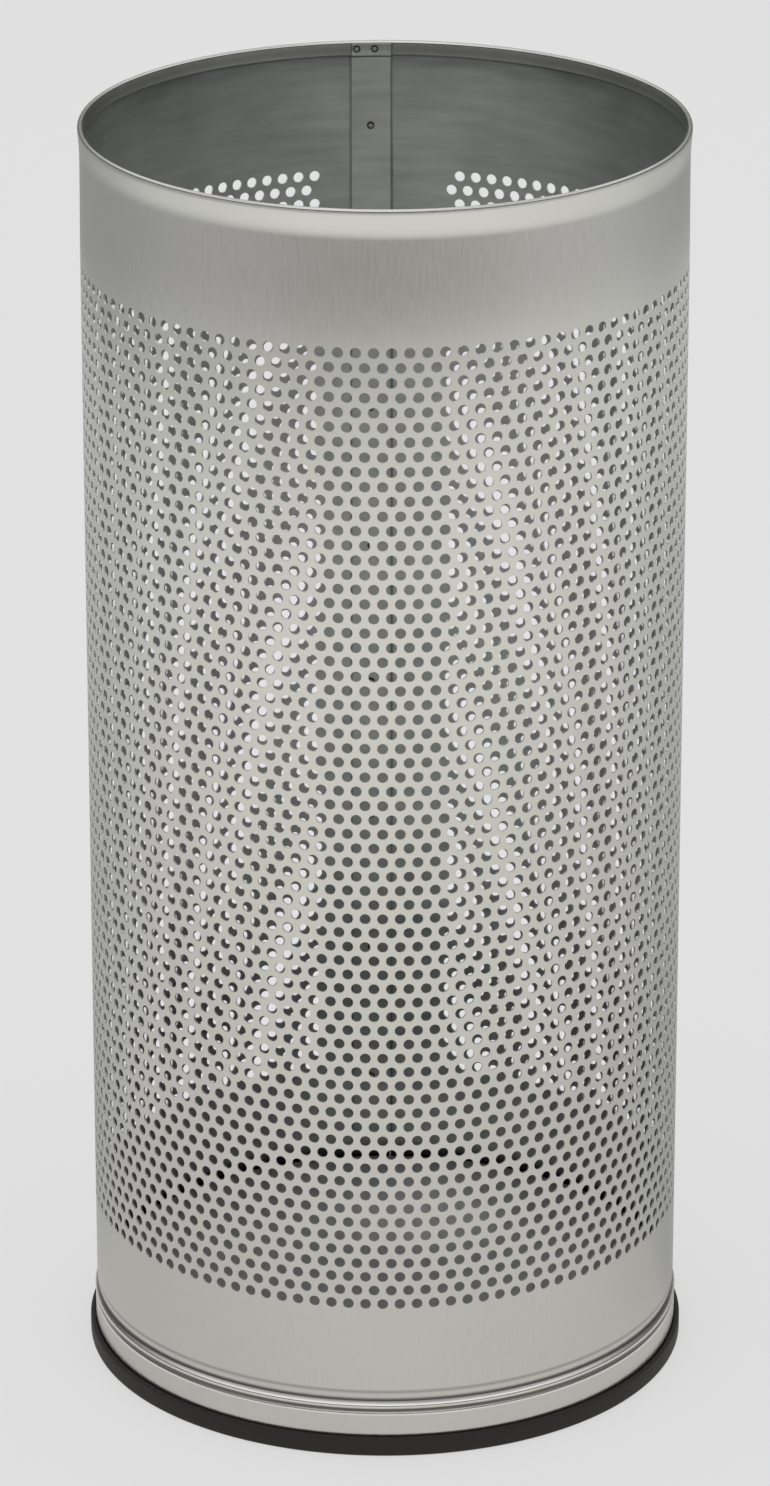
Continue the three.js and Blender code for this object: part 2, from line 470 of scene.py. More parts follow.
def shellSectors(materials):
    tree = piercedFieldTree()
    names = ["shell_back_left", "shell_front_left", "shell_front_right", "shell_back_right"]
    cuts = [round(cut) for cut in spread(0, piercing["columns"], piercing["sectors"])]
    made = []
    for name, first, last in zip(names, cuts, cuts[1:]):
        field = runNodes(tree, {
            "Columns": last - first, "Rows": piercing["rows"], "Pitch": pitch,
            "Hole Radius": holeRadius, "Hole Sides": piercing["holeSides"],
            "First Across": firstHole + first * pitch, "First Height": bottomRow,
            "Material": materials[0],
        }, name)
        bm = bmesh.new()
        bm.from_mesh(field)
        addFlatFaces(bm, sectorFaces(first, last))
        bmesh.ops.remove_doubles(bm, verts=bm.verts, dist=piercing["weld"])
        bmesh.ops.recalc_face_normals(bm, faces=bm.faces)
        if bm.faces[0].normal.z < 0:
            bmesh.ops.reverse_faces(bm, faces=bm.faces)
        mesh = thickened(bm, name, materials)
        bm.free()
        bpy.data.meshes.remove(field)
        print("made", name, len(mesh.polygons), "faces")
        made.append(linkObject(name, mesh))
    return made


# the lap: the sheet's inner end, lying on the wall and on the back of the hem
lap = {
    "foot": 0.034,
    "top": 0.6068,
    "wallHeights": [0.15, 0.3, 0.45],
    "hemHeight": 0.604,
    "hemSlack": 0.0012,      # height over which it steps onto the hem
    "clearance": 0.00003,
    "joggle": 0.0015,        # the step where it leaves the wall
    "rounding": 0.0009,      # its free edge is rolled over by this much
    "edgeShare": 0.2,        # of the sheet's thickness, left at the free edge
    "endShare": 0.04,        # and left at the far end of the joggle
    "blankPlace": 1.0,       # where its middle lies on the blank, well clear of the wall
    "sharpAngle": 35,
}


def lapSection(height):
    # the face that the lap lies against: inside of the wall, then inside of the hem
    wallInside = wallRadius - sheet["thickness"]
    hemInside = wallRadius + sheet["hemSwell"] - sheet["hemReach"]
    step = smoothStep((height - (hemFoot - lap["hemSlack"])) / lap["hemSlack"])
    return wallInside + (hemInside - wallInside) * step


def lapShare(across):
    # how much of the sheet's thickness is left here
    if across < lap["rounding"] - lapReach:
        inset = (across + lapReach) / lap["rounding"]
        return lap["edgeShare"] + (1 - lap["edgeShare"]) * math.sqrt(1 - (1 - inset) ** 2)
    if across > lapReach:
        return max(smoothStep(1 - (across - lapReach) / lap["joggle"]), lap["endShare"])
    return 1.0


def lapDip(across):
    if across <= lapReach:
        return 0
    return -sheet["joggleDip"] * smoothStep(1 - (across - lapReach) / sheet["joggleRun"])


def lapGrid(bm, columns, heights, inside):
    grid = []
    for across in columns:
        gauge = sheet["thickness"] * lapShare(across) if inside else 0
        angle = across / wallRadius
        column = []
        for height, back in zip(heights, lapSection(heights)):
            dip = lapDip(across) if height < hemFoot else 0
            radius = back - lap["clearance"] + dip - gauge
            column.append(bm.verts.new((radius * math.sin(angle), radius * math.cos(angle), height)))
        grid.append(column)
    return grid


def lapEnd(materials):
    rounded = lap["rounding"] - lapReach
    hemStart = hemFoot - lap["hemSlack"]
    columns = spread(-lapReach, rounded, 4) + spread(rounded, lapReach, 8)[1:]
    columns = np.array(columns + spread(lapReach, lapReach + lap["joggle"], 5)[1:])
    heights = [lap["foot"], *lap["wallHeights"]] + spread(hemStart, hemFoot, 5)
    heights = np.array(heights + [lap["hemHeight"], lap["top"]])
    bm = bmesh.new()
    blankLayer = bm.loops.layers.uv.new("blank")
    outside = lapGrid(bm, columns, heights, False)
    inside = lapGrid(bm, columns, heights, True)
    for i in range(len(columns) - 1):
        for j in range(len(heights) - 1):
            bm.faces.new([inside[i][j], inside[i + 1][j], inside[i + 1][j + 1], inside[i][j + 1]])
            bm.faces.new([outside[i][j], outside[i][j + 1], outside[i + 1][j + 1], outside[i + 1][j]])
        for j in (0, -1):
            bm.faces.new([outside[i][j], outside[i + 1][j], inside[i + 1][j], inside[i][j]])
    for i in (0, -1):
        for j in range(len(heights) - 1):
            bm.faces.new([outside[i][j], inside[i][j], inside[i][j + 1], outside[i][j + 1]])
    for face in bm.faces:
        for loop in face.loops:
            place = loop.vert.co
            across = math.atan2(place.x, place.y) * wallRadius
            loop[blankLayer].uv = (across + lap["blankPlace"], place.z)
    bmesh.ops.recalc_face_normals(bm, faces=bm.faces)
    mesh = smoothMesh(bm, "shell_lap", lap["sharpAngle"])
    mesh.materials.append(materials[1])
    return linkObject("shell_lap", mesh)


def arcPoints(centreRadius, centreHeight, size, start, end, steps):
    return [
        (centreRadius + size * math.cos(math.radians(a)), centreHeight + size * math.sin(math.radians(a)))
        for a in spread(start, end, steps)
    ]


def turned(name, outline, steps, material, sharpAngle):
    # outline points are (radius, height); one on the axis becomes a single vertex
    bm = bmesh.new()
    rings = []
    for radius, height in outline:
        if radius == 0:
            rings.append([bm.verts.new((0, 0, height))])
        else:
            turns = [2 * math.pi * i / steps for i in range(steps)]
            rings.append([bm.verts.new((radius * math.cos(a), radius * math.sin(a), height)) for a in turns])
    pairs = list(zip(rings, rings[1:]))
    if len(rings[0]) > 1:
        pairs.append((rings[-1], rings[0]))
    for lower, upper in pairs:
        for i in range(steps):
            j = (i + 1) % steps
            corners = [lower[i % len(lower)], lower[j % len(lower)]]
            corners += [upper[j % len(upper)], upper[i % len(upper)]]
            bm.faces.new(list(dict.fromkeys(corners)))
    bmesh.ops.recalc_face_normals(bm, faces=bm.faces)
    mesh = smoothMesh(bm, name, sharpAngle)
    mesh.materials.append(material)
    return linkObject(name, mesh)


panForm = {
    "corner": 0.0022,
    "rim": 0.0002,           # the flange's lower edge is eased by this much
    "dish": 0.0004,          # the floor's middle sits this much lower
    "floor": [(0, 1.0), (0.04, 1.0), (0.09, 0.5), (0.12, 0.0)],  # radius and share of the dish
    "steps": 144,
    "sharpAngle": 35,
}


def floorPan(material):
    corner, rim, gauge = panForm["corner"], panForm["rim"], sheet["thickness"]
    radius, top, foot = panHigh.x, panHigh.z, panLow.z
    under = [(out, top - gauge - panForm["dish"] * share) for out, share in panForm["floor"]]
    upper = [(out, top - panForm["dish"] * share) for out, share in panForm["floor"]]
    outline = under + arcPoints(radius - corner, top - corner, corner - gauge, 90, 0, 6)
    outline += [(radius - gauge, foot + rim), (radius - gauge / 2, foot), (radius, foot + rim)]
    outline += arcPoints(radius - corner, top - corner, corner, 0, 90, 8) + upper[::-1]
    return turned("floor_pan", outline, panForm["steps"], material, panForm["sharpAngle"])


ringForm = {
    "fit": 0.0003,
    "web": 0.003,            # rubber under the sheet's edge
    "innerLeg": 0.0022,
    "outerEdge": 0.0016,     # roundings, at the foot and then at the tips of the legs
    "innerEdge": 0.0008,
    "outerLip": 0.0009,
    "slotLip": 0.0004,
    "innerLip": 0.0006,
    "steps": 180,
    "sharpAngle": 50,
}


def footRing(material):
    # outline of the channel, anticlockwise with the radius to the right
    slotOutside = wallRadius + footForm[0][1] + ringForm["fit"]
    slotInside = panHigh.x - sheet["thickness"] - ringForm["fit"]
    inside = slotInside - ringForm["innerLeg"]
    outside, top = ringHigh.x, ringHigh.z
    corner, edge = ringForm["innerEdge"], ringForm["outerEdge"]
    lip, slotLip, innerLip = ringForm["outerLip"], ringForm["slotLip"], ringForm["innerLip"]
    outline = arcPoints(inside + corner, corner, corner, 180, 270, 4)
    outline += arcPoints(outside - edge, edge, edge, 270, 360, 7)
    outline += arcPoints(outside - lip, top - lip, lip, 0, 90, 6)
    outline += arcPoints(slotOutside + slotLip, top - slotLip, slotLip, 90, 180, 3)
    outline += [(slotOutside, ringForm["web"]), (slotInside, ringForm["web"])]
    outline += arcPoints(slotInside - slotLip, top - slotLip, slotLip, 0, 90, 3)
    outline += arcPoints(inside + innerLip, top - innerLip, innerLip, 90, 180, 4)
    return turned("foot_ring", outline, ringForm["steps"], material, ringForm["sharpAngle"])


def rivetTree():
    tree, given, out = newTree("rivetRow", "GeometryNodeTree", [
        ("Count", "NodeSocketInt", 8), ("First", "NodeSocketVector"), ("Step", "NodeSocketVector"),
        ("Turn", "NodeSocketFloat", 0.0), ("Shape", "NodeSocketObject"),
        ("Bright", "NodeSocketMaterial"), ("Rim", "NodeSocketMaterial"),
    ], [("Geometry", "NodeSocketGeometry")])
    line = addNode(tree, "GeometryNodeMeshLine", mode="OFFSET")
    plug(tree, given["Count"], line.inputs["Count"])
    plug(tree, given["First"], line.inputs["Start Location"])
    plug(tree, given["Step"], line.inputs["Offset"])
    info = addNode(tree, "GeometryNodeObjectInfo", transform_space="ORIGINAL")
    plug(tree, given["Shape"], info.inputs["Object"])
    index = addNode(tree, "GeometryNodeInputIndex").outputs[0]
    turn = addNode(tree, "ShaderNodeCombineXYZ")
    plug(tree, mathNode(tree, "MULTIPLY", index, given["Turn"]), turn.inputs["Z"])
    scatter = addNode(tree, "GeometryNodeInstanceOnPoints")
    plug(tree, line.outputs["Mesh"], scatter.inputs["Points"])
    plug(tree, info.outputs["Geometry"], scatter.inputs["Instance"])
    plug(tree, turn.outputs[0], scatter.inputs["Rotation"])
    real = addNode(tree, "GeometryNodeRealizeInstances")
    plug(tree, scatter.outputs[0], real.inputs[0])
    # the flanks of the heads carry the second material, painted near black as painted shade round each head's
    # bright middle
    painted = real.outputs[0]
    for slot, name in ((1, "Rim"), (0, "Bright")):
        chosen = addNode(tree, "FunctionNodeCompare", data_type="INT", operation="EQUAL")
        plug(tree, addNode(tree, "GeometryNodeInputMaterialIndex").outputs[0], chosen.inputs["A"])
        chosen.inputs["B"].default_value = slot
        paint = addNode(tree, "GeometryNodeSetMaterial")
        plug(tree, painted, paint.inputs["Geometry"])
        plug(tree, chosen.outputs[0], paint.inputs["Selection"])
        plug(tree, given[name], paint.inputs["Material"])
        painted = paint.outputs[0]
    plug(tree, painted, out.inputs[0])
    return tree


rivet = {
    "radius": 0.00175,
    "shank": 0.0012,
    "fit": 0.00015,
    "innerDome": 0.0007,
    "outerDome": 0.00035,
    "brightShare": 0.6,      # the middle of a head stays bright out to this share of its radius
    "steps": 20,
    "sharpAngle": 50,
    "seamCount": 8,
    "hemCount": 2,
}


def rivetShape(innerFace, outerFace, materials):
    # a pin along +Y, with its heads against the two given radii; the inner head is dished
    low, high = innerFace - rivet["fit"], outerFace + rivet["fit"]
    r, inner, outer = rivet["radius"], rivet["innerDome"], rivet["outerDome"]
    outline = [
        (0, low - inner * 0.55), (r * 0.35, low - inner * 0.62), (r * 0.62, low - inner),
        (r * 0.85, low - inner * 0.85), (r, low - inner * 0.35), (r, low), (rivet["shank"], low),
        (rivet["shank"], high), (r, high), (r, high + outer * 0.4), (r * 0.8, high + outer * 0.85),
        (r * 0.4, high + outer), (0, high + outer),
    ]
    shape = turned("rivetShape", outline, rivet["steps"], materials[0], rivet["sharpAngle"])
    shape.data.materials.append(materials[1])
    for face in shape.data.polygons:
        if math.hypot(face.center.x, face.center.y) > r * rivet["brightShare"]:
            face.material_index = 1
    shape.data.transform(Matrix.Rotation(math.radians(-90), 4, "X"))
    return shape


def rivetRow(tree, name, shape, row, materials):
    settings = {**row, "Shape": shape, "Bright": materials[0], "Rim": materials[1]}
    made = linkObject(name, runNodes(tree, settings, name))
    bpy.data.objects.remove(shape)
    return made


def rivets(materials):
    tree = rivetTree()
    seamNodes = [f"seam_rivet_{i + 1}" for i in range(rivet["seamCount"])]
    heights = [(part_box(node)[0].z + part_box(node)[1].z) / 2 for node in seamNodes]
    shape = rivetShape(wallRadius - 2 * sheet["thickness"], wallRadius, materials)
    seamRow = rivetRow(tree, "seam_rivets", shape, {
        "Count": rivet["seamCount"], "First": (0.0, 0.0, heights[0]),
        "Step": (0.0, 0.0, heights[1] - heights[0]), "Turn": 0.0,
    }, materials)
    # the two in the hem stand at one height, so the row goes round instead of up
    hemNodes = [f"hem_rivet_{i + 1}" for i in range(rivet["hemCount"])]
    middles = [sum(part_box(node), Vector()) / 2 for node in hemNodes]
    angles = [math.atan2(-middle.x, middle.y) for middle in middles]
    hemInside = wallRadius + sheet["hemSwell"] - sheet["hemReach"] - sheet["thickness"]
    shape = rivetShape(hemInside, wallRadius + sheet["hemSwell"], materials)
    shape.data.transform(Matrix.Rotation(angles[0], 4, "Z"))
    hemRow = rivetRow(tree, "hem_rivets", shape, {
        "Count": rivet["hemCount"], "First": (0.0, 0.0, middles[0].z),
        "Step": (0.0, 0.0, 0.0), "Turn": angles[1] - angles[0],
    }, materials)
    return [(seamRow, seamNodes), (hemRow, hemNodes)]


def newMaterial(name):
    material = bpy.data.materials.new(name)
    material.use_nodes = True
    tree = material.node_tree
    shader = tree.nodes["Principled BSDF"]
    return material, tree, shader


def brushGrainGroup():
    # scratches up the sheet, or across it where Long is over Fine, with soft cloudy patches
    group, given, out = newTree("brushGrain", "ShaderNodeTree", [
        ("Vector", "NodeSocketVector"), ("Long", "NodeSocketFloat", 90.0), ("Fine", "NodeSocketFloat", 700.0),
        ("Cloud Size", "NodeSocketFloat", 9.0), ("Relief", "NodeSocketFloat", 0.00001),
    ], [("Streak", "NodeSocketFloat"), ("Cloud", "NodeSocketFloat"), ("Normal", "NodeSocketVector")])
    stretch = addNode(group, "ShaderNodeCombineXYZ")
    plug(group, given["Fine"], stretch.inputs["X"])
    plug(group, given["Long"], stretch.inputs["Y"])
    plug(group, given["Fine"], stretch.inputs["Z"])
    scaled = addNode(group, "ShaderNodeVectorMath", operation="MULTIPLY")
    plug(group, given["Vector"], scaled.inputs[0])
    plug(group, stretch.outputs[0], scaled.inputs[1])
    streak = addNode(group, "ShaderNodeTexNoise")
    streak.inputs["Scale"].default_value = 1.0
    streak.inputs["Detail"].default_value = 3.0
    plug(group, scaled.outputs[0], streak.inputs["Vector"])
    cloud = addNode(group, "ShaderNodeTexNoise")
    cloud.inputs["Detail"].default_value = 2.0
    plug(group, given["Vector"], cloud.inputs["Vector"])
    plug(group, given["Cloud Size"], cloud.inputs["Scale"])
    bump = addNode(group, "ShaderNodeBump")
    bump.inputs["Strength"].default_value = 1.0
    plug(group, given["Relief"], bump.inputs["Distance"])
    plug(group, streak.outputs[0], bump.inputs["Height"])
    plug(group, streak.outputs[0], out.inputs["Streak"])
    plug(group, cloud.outputs[0], out.inputs["Cloud"])
    plug(group, bump.outputs[0], out.inputs["Normal"])
    return group


def mapRange(tree, value, low, high):
    # noise lies nearly all between 0.3 and 0.7
    node = addNode(tree, "ShaderNodeMapRange")
    plug(tree, value, node.inputs["Value"])
    node.inputs["From Min"].default_value = 0.3
    node.inputs["From Max"].default_value = 0.7
    node.inputs["To Min"].default_value = low
    node.inputs["To Max"].default_value = high
    return node.outputs["Result"]


def blendColours(tree, amount, first, second):
    node = addNode(tree, "ShaderNodeMix", data_type="RGBA")
    plug(tree, amount, node.inputs["Factor"])
    plug(tree, (*first, 1), node.inputs["A"])
    plug(tree, (*second, 1), node.inputs["B"])
    return node.outputs["Result"]


def multiplied(tree, first, second):
    node = addNode(tree, "ShaderNodeMix", data_type="RGBA", blend_type="MULTIPLY")
    node.inputs["Factor"].default_value = 1.0
    plug(tree, first, node.inputs["A"])
    plug(tree, second, node.inputs["B"])
    return node.outputs["Result"]


def paintedLightAndShadeGroup():
    # how much a line or band of painted shade, or of painted light and highlight, changes the tone at a place
    # on the blank
    inputs = [(name, "NodeSocketFloat") for name in ("Place", "Centre", "Half Width", "Depth")]
    group, given, out = newTree("paintedLightAndShadeLine", "ShaderNodeTree", inputs, [("Tone", "NodeSocketFloat")])
    away = mathNode(group, "ABSOLUTE", mathNode(group, "SUBTRACT", given["Place"], given["Centre"]))
    fade = addNode(group, "ShaderNodeMapRange", interpolation_type="SMOOTHSTEP")
    plug(group, mathNode(group, "DIVIDE", away, given["Half Width"]), fade.inputs["Value"])
    fade.inputs["To Min"].default_value = 1.0
    fade.inputs["To Max"].default_value = 0.0
    change = mathNode(group, "MULTIPLY", fade.outputs["Result"], given["Depth"])
    plug(group, mathNode(group, "SUBTRACT", 1.0, change), out.inputs["Tone"])
    return group


def withPaintedLightAndShade(tree, lightAndShadePainter, coords, lines):
    # each line is the axis it lies across, its centre, its half width and its depth; a positive depth paints
    # shade and a negative one paints light
    parts = addNode(tree, "ShaderNodeSeparateXYZ")
    plug(tree, coords, parts.inputs[0])
    tone = None
    for axis, centre, halfWidth, depth in lines:
        line = addNode(tree, "ShaderNodeGroup", node_tree=lightAndShadePainter)
        plug(tree, parts.outputs[axis], line.inputs["Place"])
        line.inputs["Centre"].default_value = centre
        line.inputs["Half Width"].default_value = halfWidth
        line.inputs["Depth"].default_value = depth
        tone = line.outputs[0] if tone is None else mathNode(tree, "MULTIPLY", tone, line.outputs[0])
    return tone


def steelMaterial(name, effects, look):
    material, tree, shader = newMaterial(name)
    if look["onBlank"]:
        coords = addNode(tree, "ShaderNodeUVMap", uv_map="blank").outputs[0]
    else:
        coords = addNode(tree, "ShaderNodeTexCoord").outputs["Object"]
    brush = addNode(tree, "ShaderNodeGroup", node_tree=effects["grain"])
    plug(tree, coords, brush.inputs["Vector"])
    brush.inputs["Long"].default_value = look["long"]
    brush.inputs["Fine"].default_value = look["fine"]
    brush.inputs["Cloud Size"].default_value = look["cloudSize"]
    brush.inputs["Relief"].default_value = look["relief"]
    streak = mathNode(tree, "MULTIPLY", brush.outputs["Streak"], 0.5)
    cloud = mathNode(tree, "MULTIPLY", brush.outputs["Cloud"], 0.5)
    tone = mathNode(tree, "ADD", streak, cloud)
    colour = blendColours(tree, mapRange(tree, tone, 0.0, 1.0), look["dark"], look["light"])
    # painted shade and painted light, multiplied into the base colour
    if look.get("paintedLightAndShade"):
        colour = multiplied(tree, colour, withPaintedLightAndShade(tree, effects["lightAndShadePainter"], coords, look["paintedLightAndShade"]))
    plug(tree, colour, shader.inputs["Base Color"])
    smoothest = look["roughness"] - look["roughSpread"]
    roughest = look["roughness"] + look["roughSpread"]
    plug(tree, mapRange(tree, brush.outputs["Streak"], smoothest, roughest), shader.inputs["Roughness"])
    plug(tree, brush.outputs["Normal"], shader.inputs["Normal"])
    shader.inputs["Metallic"].default_value = look.get("metallic", 1.0)
    if look["onBlank"]:
        shader.inputs["Anisotropic"].default_value = look["stretch"]
        tangent = addNode(tree, "ShaderNodeTangent", direction_type="UV_MAP", uv_map="blank")
        plug(tree, tangent.outputs[0], shader.inputs["Tangent"])
    return material


rubber = {
    "grain": 900,
    "detail": 4,
    "dark": (0.0065, 0.005, 0.0035),
    "light": (0.019, 0.0155, 0.0115),
    "smoothest": 0.5,
    "roughest": 0.75,
    "relief": 0.0001,
    "reliefStrength": 0.5,
}


def rubberMaterial():
    material, tree, shader = newMaterial("blackRubber")
    noise = addNode(tree, "ShaderNodeTexNoise")
    noise.inputs["Scale"].default_value = rubber["grain"]
    noise.inputs["Detail"].default_value = rubber["detail"]
    plug(tree, addNode(tree, "ShaderNodeTexCoord").outputs["Object"], noise.inputs["Vector"])
    grain = noise.outputs[0]
    colour = blendColours(tree, mapRange(tree, grain, 0, 1), rubber["dark"], rubber["light"])
    plug(tree, colour, shader.inputs["Base Color"])
    plug(tree, mapRange(tree, grain, rubber["smoothest"], rubber["roughest"]), shader.inputs["Roughness"])
    bump = addNode(tree, "ShaderNodeBump")
    bump.inputs["Distance"].default_value = rubber["relief"]
    bump.inputs["Strength"].default_value = rubber["reliefStrength"]
    plug(tree, grain, bump.inputs["Height"])
    plug(tree, bump.outputs[0], shader.inputs["Normal"])
    return material


view = {
    "azimuth": -2.85,
    "distance": 3.0,
    "height": 1.469,
    "pitch": 21.23,
    "lens": 165,
    "sensor": 36,
    "nearest": 0.05,
    "farthest": 60,
}


def makeCamera():
    data = bpy.data.cameras.new("camera")
    camera = linkObject("camera", data)
    data.lens = view["lens"]
    data.sensor_width = view["sensor"]
    data.clip_start = view["nearest"]
    data.clip_end = view["farthest"]
    turn = math.radians(view["azimuth"])
    away = view["distance"]
    camera.location = (math.sin(turn) * away, -math.cos(turn) * away, view["height"])
    camera.rotation_euler = (math.radians(90 - view["pitch"]), 0, turn)
    bpy.context.scene.camera = camera


studio = {
    "backdrop": 0.753,       # what the camera sees
    "floorReach": 20,
    "floorGlow": 0.55,
    "floorTint": 0.30,
    "floorRoughness": 0.9,
    # how bright the steel sees the floor, by distance from the pool's centre in pool reaches
    "poolCentre": (0.12, 0.0, 0),
    "poolReach": 2.5,
    "pool": [
        (0.0, (0.64, 0.63, 0.61)), (0.12, (0.71, 0.70, 0.68)), (0.28, (0.83, 0.82, 0.79)),
        (0.45, (0.92, 0.91, 0.88)), (0.58, (1.0, 1.0, 0.97)), (1.0, (0.95, 0.95, 0.92)),
    ],
    # and by its bearing, from the front round to the back
    "bearing": [
        (0.0, (1, 1, 1)), (0.5, (0.86, 0.87, 0.87)), (0.8, (0.64, 0.66, 0.66)), (1.0, (0.64, 0.66, 0.66)),
    ],
    # the pool ends over this stretch, and beyond it only the bearing counts, with a little more to the right
    "poolEdge": (0.675, 0.765),
    "beyond": [
        (0.0, (0.30, 0.30, 0.285)), (0.05, (0.325, 0.325, 0.31)), (0.2, (0.43, 0.43, 0.425)),
        (0.4, (0.455, 0.46, 0.455)), (0.73, (0.39, 0.40, 0.395)), (1.0, (0.38, 0.39, 0.39)),
    ],
    "rightLift": 0.06,
    # brightness of the room by height, as the sine of the elevation
    "room": [
        (0.0, (0.10, 0.105, 0.10)), (0.30, (0.12, 0.125, 0.12)), (0.45, (0.55, 0.55, 0.55)),
        (0.58, (1.15, 1.15, 1.15)), (0.75, (0.80, 0.80, 0.80)), (1.0, (0.25, 0.26, 0.26)),
    ],
}
softboxes = {
    "topSoftbox": {"place": (-0.6, -1.2, 3.2), "aim": (0, 0, 0.3), "size": 2.4, "power": 6},
    "mouthSoftbox": {"place": (0, 0, 3.0), "aim": (0, 0, 0), "size": 1.6, "power": 7},
}
# a narrow soft beam down the mouth, for the pale patch on the floor pan
mouthBeam = {
    "place": (0.02, 0.03, 2.6),
    "aim": (0.022, 0.068, 0.026),
    "angle": 2.4,
    "softness": 0.02,
    "power": 60,
}


def levelRamp(tree, value, stops):
    node = addNode(tree, "ShaderNodeValToRGB")
    plug(tree, value, node.inputs[0])
    ramp = node.color_ramp
    ramp.interpolation = "EASE"
    ramp.elements[0].position = stops[0][0]
    ramp.elements[1].position = stops[-1][0]
    for position, _ in stops[1:-1]:
        ramp.elements.new(position)
    for element, (_, colour) in zip(ramp.elements, stops):
        element.color = (*colour, 1)
    return node.outputs["Color"]


def floorLevel(tree):
    # how bright each place of the floor looks in the steel
    coords = addNode(tree, "ShaderNodeTexCoord").outputs["Object"]
    offset = addNode(tree, "ShaderNodeVectorMath", operation="SUBTRACT")
    plug(tree, coords, offset.inputs[0])
    offset.inputs[1].default_value = studio["poolCentre"]
    distance = addNode(tree, "ShaderNodeVectorMath", operation="LENGTH")
    plug(tree, offset.outputs[0], distance.inputs[0])
    direction = addNode(tree, "ShaderNodeVectorMath", operation="NORMALIZE")
    plug(tree, offset.outputs[0], direction.inputs[0])
    parts = addNode(tree, "ShaderNodeSeparateXYZ")
    plug(tree, direction.outputs[0], parts.inputs[0])
    bearing = mathNode(tree, "ADD", mathNode(tree, "MULTIPLY", parts.outputs["Y"], 0.5), 0.5)
    away = mathNode(tree, "DIVIDE", distance.outputs["Value"], studio["poolReach"])
    pool = levelRamp(tree, away, studio["pool"])
    pool = multiplied(tree, pool, levelRamp(tree, bearing, studio["bearing"]))
    lift = mathNode(tree, "ADD", mathNode(tree, "MULTIPLY", parts.outputs["X"], studio["rightLift"]), 1.0)
    beyond = multiplied(tree, levelRamp(tree, bearing, studio["beyond"]), lift)
    edge = addNode(tree, "ShaderNodeMapRange", interpolation_type="SMOOTHSTEP")
    plug(tree, away, edge.inputs["Value"])
    edge.inputs["From Min"].default_value = studio["poolEdge"][0]
    edge.inputs["From Max"].default_value = studio["poolEdge"][1]
    both = addNode(tree, "ShaderNodeMix", data_type="RGBA")
    plug(tree, edge.outputs["Result"], both.inputs["Factor"])
    plug(tree, pool, both.inputs["A"])
    plug(tree, beyond, both.inputs["B"])
    return both.outputs["Result"]


def makeFloor():
    mesh = bpy.data.meshes.new("studioFloor")
    reach = studio["floorReach"]
    corners = [(-reach, -reach, 0), (reach, -reach, 0), (reach, reach, 0), (-reach, reach, 0)]
    mesh.from_pydata(corners, [], [(0, 1, 2, 3)])
    floor = linkObject("studioFloor", mesh)
    material, tree, shader = newMaterial("paleFloor")
    shader.inputs["Base Color"].default_value = (studio["floorTint"],) * 3 + (1,)
    shader.inputs["Roughness"].default_value = studio["floorRoughness"]
    shader.inputs["Specular IOR Level"].default_value = 0.0
    shader.inputs["Emission Color"].default_value = (1, 1, 1, 1)
    shader.inputs["Emission Strength"].default_value = studio["floorGlow"]
    mirrored = addNode(tree, "ShaderNodeEmission")
    plug(tree, floorLevel(tree), mirrored.inputs["Color"])
    path = addNode(tree, "ShaderNodeLightPath")
    mix = addNode(tree, "ShaderNodeMixShader")
    plug(tree, path.outputs["Is Glossy Ray"], mix.inputs["Fac"])
    plug(tree, shader.outputs[0], mix.inputs[1])
    plug(tree, mirrored.outputs[0], mix.inputs[2])
    plug(tree, mix.outputs[0], tree.nodes["Material Output"].inputs["Surface"])
    mesh.materials.append(material)


def makeWorld():
    world = bpy.data.worlds.new("studio")
    bpy.context.scene.world = world
    world.use_nodes = True
    tree = world.node_tree
    coords = addNode(tree, "ShaderNodeTexCoord").outputs["Generated"]
    parts = addNode(tree, "ShaderNodeSeparateXYZ")
    plug(tree, coords, parts.inputs[0])
    path = addNode(tree, "ShaderNodeLightPath")
    level = addNode(tree, "ShaderNodeMix", data_type="RGBA")
    plug(tree, path.outputs["Is Camera Ray"], level.inputs["Factor"])
    plug(tree, levelRamp(tree, parts.outputs["Z"], studio["room"]), level.inputs["A"])
    plug(tree, (studio["backdrop"],) * 3 + (1,), level.inputs["B"])
    plug(tree, level.outputs["Result"], tree.nodes["Background"].inputs["Color"])


def hangLight(name, data, setting):
    data.energy = setting["power"]
    light = linkObject(name, data)
    light.location = setting["place"]
    direction = Vector(setting["aim"]) - Vector(setting["place"])
    light.rotation_euler = direction.to_track_quat("-Z", "Y").to_euler()


def makeSoftbox(name, setting):
    data = bpy.data.lights.new(name, "AREA")
    data.shape = "RECTANGLE"
    data.size = setting["size"]
    data.size_y = setting["size"]
    hangLight(name, data, setting)


def makeBeam(name, setting):
    data = bpy.data.lights.new(name, "SPOT")
    data.spot_size = math.radians(setting["angle"])
    data.spot_blend = 1.0
    data.shadow_soft_size = setting["softness"]
    hangLight(name, data, setting)


makeCamera()
makeFloor()
makeWorld()
for name, setting in softboxes.items():
    makeSoftbox(name, setting)
makeBeam("mouthBeam", mouthBeam)
bpy.context.scene.view_settings.view_transform = "Standard"
print("stage, light and camera set")

